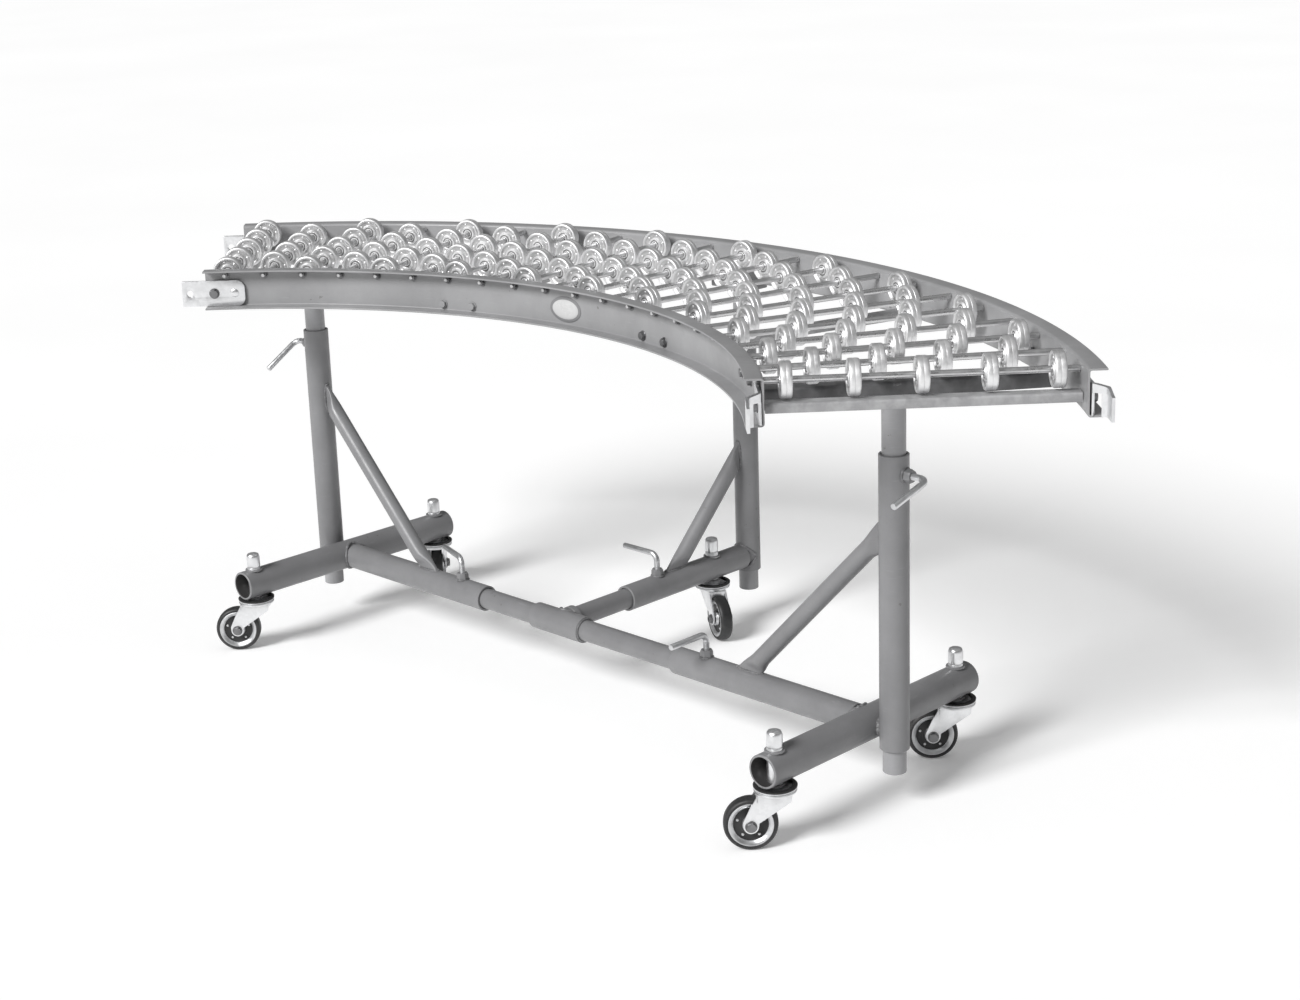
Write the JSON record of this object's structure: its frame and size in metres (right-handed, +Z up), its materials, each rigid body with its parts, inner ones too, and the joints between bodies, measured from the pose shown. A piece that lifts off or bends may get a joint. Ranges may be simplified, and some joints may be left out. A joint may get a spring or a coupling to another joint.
{
  "type": "gravity roller conveyor",
  "caption": "Portable quarter-turn gravity conveyor of free-spinning skate wheels between curved channel rails, on a height-adjustable stand with swivel casters.",
  "frame": {"origin": "on the floor under the middle of the overall box", "axes": "+X along the stand's long base tube, from the plate end to the hook end of the bed; +Y from the inside of the curve to its outside; +Z up"},
  "size_m": [1.883, 0.7393, 0.6761],
  "materials": {
    "rail_paint": "mid-grey enamel, semi-gloss",
    "stand_paint": "darker grey enamel, semi-gloss",
    "wheel_metal": "bright, lightly worn",
    "zinc_plate": "bright zinc plate",
    "tyre_rubber": "black, slightly glossy"
  },
  "bodies": {
    "base": {"centre_tee": "stand_paint", "left_leg_frame": "stand_paint", "right_leg_frame": "stand_paint", "middle_leg_frame": "stand_paint", "left_brace": "stand_paint", "right_brace": "stand_paint", "middle_brace": "stand_paint"},
    "bed": {"inner_coupling_hook": "zinc_plate", "inner_coupling_plate": "zinc_plate", "inner_rail": "rail_paint", "left_cross_member": "rail_paint", "left_end_cross_member": "rail_paint", "left_inner_post": "stand_paint", "middle_inner_post": "stand_paint", "outer_coupling_hook": "zinc_plate", "outer_coupling_plate": "zinc_plate", "outer_rail": "rail_paint", "right_cross_member": "rail_paint", "right_end_cross_member": "rail_paint", "right_inner_post": "stand_paint"},
    "wheel_row_01": {"wheel_row_01": "wheel_metal"},
    "wheel_row_02": {"wheel_row_02": "wheel_metal"},
    "wheel_row_03": {"wheel_row_03": "wheel_metal"},
    "wheel_row_04": {"wheel_row_04": "wheel_metal"},
    "wheel_row_05": {"wheel_row_05": "wheel_metal"},
    "wheel_row_06": {"wheel_row_06": "wheel_metal"},
    "wheel_row_07": {"wheel_row_07": "wheel_metal"},
    "wheel_row_08": {"wheel_row_08": "wheel_metal"},
    "wheel_row_09": {"wheel_row_09": "wheel_metal"},
    "wheel_row_10": {"wheel_row_10": "wheel_metal"},
    "wheel_row_11": {"wheel_row_11": "wheel_metal"},
    "wheel_row_12": {"wheel_row_12": "wheel_metal"},
    "wheel_row_13": {"wheel_row_13": "wheel_metal"},
    "wheel_row_14": {"wheel_row_14": "wheel_metal"},
    "wheel_row_15": {"wheel_row_15": "wheel_metal"},
    "wheel_row_16": {"wheel_row_16": "wheel_metal"},
    "wheel_row_17": {"wheel_row_17": "wheel_metal"},
    "wheel_row_18": {"wheel_row_18": "wheel_metal"},
    "wheel_row_19": {"wheel_row_19": "wheel_metal"},
    "wheel_row_20": {"wheel_row_20": "wheel_metal"},
    "wheel_row_21": {"wheel_row_21": "wheel_metal"},
    "left_arm_clamp_handle": {"left_arm_clamp_handle": "zinc_plate"},
    "left_post_clamp_handle": {"left_post_clamp_handle": "zinc_plate"},
    "middle_arm_clamp_handle": {"middle_arm_clamp_handle": "zinc_plate"},
    "middle_post_clamp_handle": {"middle_post_clamp_handle": "zinc_plate"},
    "right_arm_clamp_handle": {"right_arm_clamp_handle": "zinc_plate"},
    "right_post_clamp_handle": {"right_post_clamp_handle": "zinc_plate"},
    "left_back_caster_fork": {"left_back_caster_fork": "zinc_plate"},
    "left_back_caster_wheel": {"left_back_caster_wheel": "tyre_rubber"},
    "left_front_caster_fork": {"left_front_caster_fork": "zinc_plate"},
    "left_front_caster_wheel": {"left_front_caster_wheel": "tyre_rubber"},
    "middle_caster_fork": {"middle_caster_fork": "zinc_plate"},
    "middle_caster_wheel": {"middle_caster_wheel": "tyre_rubber"},
    "right_back_caster_fork": {"right_back_caster_fork": "zinc_plate"},
    "right_back_caster_wheel": {"right_back_caster_wheel": "tyre_rubber"},
    "right_front_caster_fork": {"right_front_caster_fork": "zinc_plate"},
    "right_front_caster_wheel": {"right_front_caster_wheel": "tyre_rubber"}
  },
  "joints": [
    {"name": "bed_height", "type": "slide", "parent": "base", "child": "bed", "axis": [0, 0, 1], "range_m": [-0.05, 0.3]},
    {"name": "left_arm_clamp_handle_turn", "type": "hinge", "parent": "base", "child": "left_arm_clamp_handle", "pos_m": [-0.284, -0.0948, 0.118], "axis": [0, 0, 1], "range_deg": [-90, 90]},
    {"name": "left_post_clamp_handle_turn", "type": "hinge", "parent": "base", "child": "left_post_clamp_handle", "pos_m": [-0.64, -0.0948, 0.49], "axis": [-1, 0, 0], "range_deg": [-148, 48]},
    {"name": "middle_arm_clamp_handle_turn", "type": "hinge", "parent": "base", "child": "middle_arm_clamp_handle", "pos_m": [-0.046, 0.1252, 0.118], "axis": [0, 0, 1], "range_deg": [-40, 90]},
    {"name": "middle_post_clamp_handle_turn", "type": "hinge", "parent": "base", "child": "middle_post_clamp_handle", "pos_m": [-0.046, 0.3492, 0.49], "axis": [-1, 0, 0], "range_deg": [-165, 35]},
    {"name": "right_arm_clamp_handle_turn", "type": "hinge", "parent": "base", "child": "right_arm_clamp_handle", "pos_m": [0.272, -0.0948, 0.118], "axis": [0, 0, 1], "range_deg": [-90, 90]},
    {"name": "right_post_clamp_handle_turn", "type": "hinge", "parent": "base", "child": "right_post_clamp_handle", "pos_m": [0.628, -0.0948, 0.49], "axis": [1, 0, 0], "range_deg": [-35, 165]},
    {"name": "left_back_caster_swivel", "type": "hinge", "parent": "base", "child": "left_back_caster_fork", "pos_m": [-0.59475, 0.1042, 0.088], "axis": [0, 0, 1], "continuous": true},
    {"name": "left_back_caster_wheel_spin", "type": "hinge", "parent": "left_back_caster_fork", "child": "left_back_caster_wheel", "pos_m": [-0.61879, 0.12824, 0.03763], "axis": [0.7071, 0.7071, 0], "continuous": true},
    {"name": "left_front_caster_swivel", "type": "hinge", "parent": "base", "child": "left_front_caster_fork", "pos_m": [-0.59475, -0.2938, 0.088], "axis": [0, 0, 1], "continuous": true},
    {"name": "left_front_caster_wheel_spin", "type": "hinge", "parent": "left_front_caster_fork", "child": "left_front_caster_wheel", "pos_m": [-0.61879, -0.31784, 0.03763], "axis": [-0.7071, 0.7071, 0], "continuous": true},
    {"name": "middle_caster_swivel", "type": "hinge", "parent": "base", "child": "middle_caster_fork", "pos_m": [-0.046, 0.2572, 0.088], "axis": [0, 0, 1], "continuous": true},
    {"name": "middle_caster_wheel_spin", "type": "hinge", "parent": "middle_caster_fork", "child": "middle_caster_wheel", "pos_m": [-0.01571, 0.24176, 0.03763], "axis": [-0.454, -0.891, 0], "continuous": true},
    {"name": "right_back_caster_swivel", "type": "hinge", "parent": "base", "child": "right_back_caster_fork", "pos_m": [0.58275, 0.1042, 0.088], "axis": [0, 0, 1], "continuous": true},
    {"name": "right_back_caster_wheel_spin", "type": "hinge", "parent": "right_back_caster_fork", "child": "right_back_caster_wheel", "pos_m": [0.55871, 0.08016, 0.03763], "axis": [-0.7071, 0.7071, 0], "continuous": true},
    {"name": "right_front_caster_swivel", "type": "hinge", "parent": "base", "child": "right_front_caster_fork", "pos_m": [0.58275, -0.2938, 0.088], "axis": [0, 0, 1], "continuous": true},
    {"name": "right_front_caster_wheel_spin", "type": "hinge", "parent": "right_front_caster_fork", "child": "right_front_caster_wheel", "pos_m": [0.55871, -0.31784, 0.03763], "axis": [-0.7071, 0.7071, 0], "continuous": true},
    {"name": "wheel_row_01_spin", "type": "hinge", "parent": "bed", "child": "wheel_row_01", "pos_m": [-0.73293, -0.15445, 0.6515], "axis": [-0.6896, 0.7242, 0], "continuous": true},
    {"name": "wheel_row_02_spin", "type": "hinge", "parent": "bed", "child": "wheel_row_02", "pos_m": [-0.67279, -0.1014, 0.6515], "axis": [-0.6326, 0.7745, 0], "continuous": true},
    {"name": "wheel_row_03_spin", "type": "hinge", "parent": "bed", "child": "wheel_row_03", "pos_m": [-0.6088, -0.05307, 0.6515], "axis": [-0.5719, 0.8204, 0], "continuous": true},
    {"name": "wheel_row_04_spin", "type": "hinge", "parent": "bed", "child": "wheel_row_04", "pos_m": [-0.54131, -0.00974, 0.6515], "axis": [-0.5078, 0.8615, 0], "continuous": true},
    {"name": "wheel_row_05_spin", "type": "hinge", "parent": "bed", "child": "wheel_row_05", "pos_m": [-0.47073, 0.02832, 0.6515], "axis": [-0.4409, 0.8976, 0], "continuous": true},
    {"name": "wheel_row_06_spin", "type": "hinge", "parent": "bed", "child": "wheel_row_06", "pos_m": [-0.39746, 0.06092, 0.6515], "axis": [-0.3714, 0.9285, 0], "continuous": true},
    {"name": "wheel_row_07_spin", "type": "hinge", "parent": "bed", "child": "wheel_row_07", "pos_m": [-0.32192, 0.08784, 0.6515], "axis": [-0.2997, 0.954, 0], "continuous": true},
    {"name": "wheel_row_08_spin", "type": "hinge", "parent": "bed", "child": "wheel_row_08", "pos_m": [-0.24455, 0.10895, 0.6515], "axis": [-0.2263, 0.9741, 0], "continuous": true},
    {"name": "wheel_row_09_spin", "type": "hinge", "parent": "bed", "child": "wheel_row_09", "pos_m": [-0.16581, 0.12412, 0.6515], "axis": [-0.1516, 0.9884, 0], "continuous": true},
    {"name": "wheel_row_10_spin", "type": "hinge", "parent": "bed", "child": "wheel_row_10", "pos_m": [-0.08614, 0.13325, 0.6515], "axis": [-0.076, 0.9971, 0], "continuous": true},
    {"name": "wheel_row_11_spin", "type": "hinge", "parent": "bed", "child": "wheel_row_11", "pos_m": [-0.006, 0.1363, 0.6515], "axis": [0, 1, 0], "continuous": true},
    {"name": "wheel_row_12_spin", "type": "hinge", "parent": "bed", "child": "wheel_row_12", "pos_m": [0.07414, 0.13325, 0.6515], "axis": [0.076, 0.9971, 0], "continuous": true},
    {"name": "wheel_row_13_spin", "type": "hinge", "parent": "bed", "child": "wheel_row_13", "pos_m": [0.15381, 0.12412, 0.6515], "axis": [0.1516, 0.9884, 0], "continuous": true},
    {"name": "wheel_row_14_spin", "type": "hinge", "parent": "bed", "child": "wheel_row_14", "pos_m": [0.23256, 0.10895, 0.6515], "axis": [0.2263, 0.9741, 0], "continuous": true},
    {"name": "wheel_row_15_spin", "type": "hinge", "parent": "bed", "child": "wheel_row_15", "pos_m": [0.30992, 0.08784, 0.6515], "axis": [0.2997, 0.954, 0], "continuous": true},
    {"name": "wheel_row_16_spin", "type": "hinge", "parent": "bed", "child": "wheel_row_16", "pos_m": [0.38546, 0.06092, 0.6515], "axis": [0.3714, 0.9285, 0], "continuous": true},
    {"name": "wheel_row_17_spin", "type": "hinge", "parent": "bed", "child": "wheel_row_17", "pos_m": [0.45873, 0.02832, 0.6515], "axis": [0.4409, 0.8976, 0], "continuous": true},
    {"name": "wheel_row_18_spin", "type": "hinge", "parent": "bed", "child": "wheel_row_18", "pos_m": [0.52931, -0.00974, 0.6515], "axis": [0.5078, 0.8615, 0], "continuous": true},
    {"name": "wheel_row_19_spin", "type": "hinge", "parent": "bed", "child": "wheel_row_19", "pos_m": [0.5968, -0.05307, 0.6515], "axis": [0.5719, 0.8204, 0], "continuous": true},
    {"name": "wheel_row_20_spin", "type": "hinge", "parent": "bed", "child": "wheel_row_20", "pos_m": [0.66079, -0.1014, 0.6515], "axis": [0.6326, 0.7745, 0], "continuous": true},
    {"name": "wheel_row_21_spin", "type": "hinge", "parent": "bed", "child": "wheel_row_21", "pos_m": [0.72093, -0.15445, 0.6515], "axis": [0.6896, 0.7242, 0], "continuous": true}
  ]
}
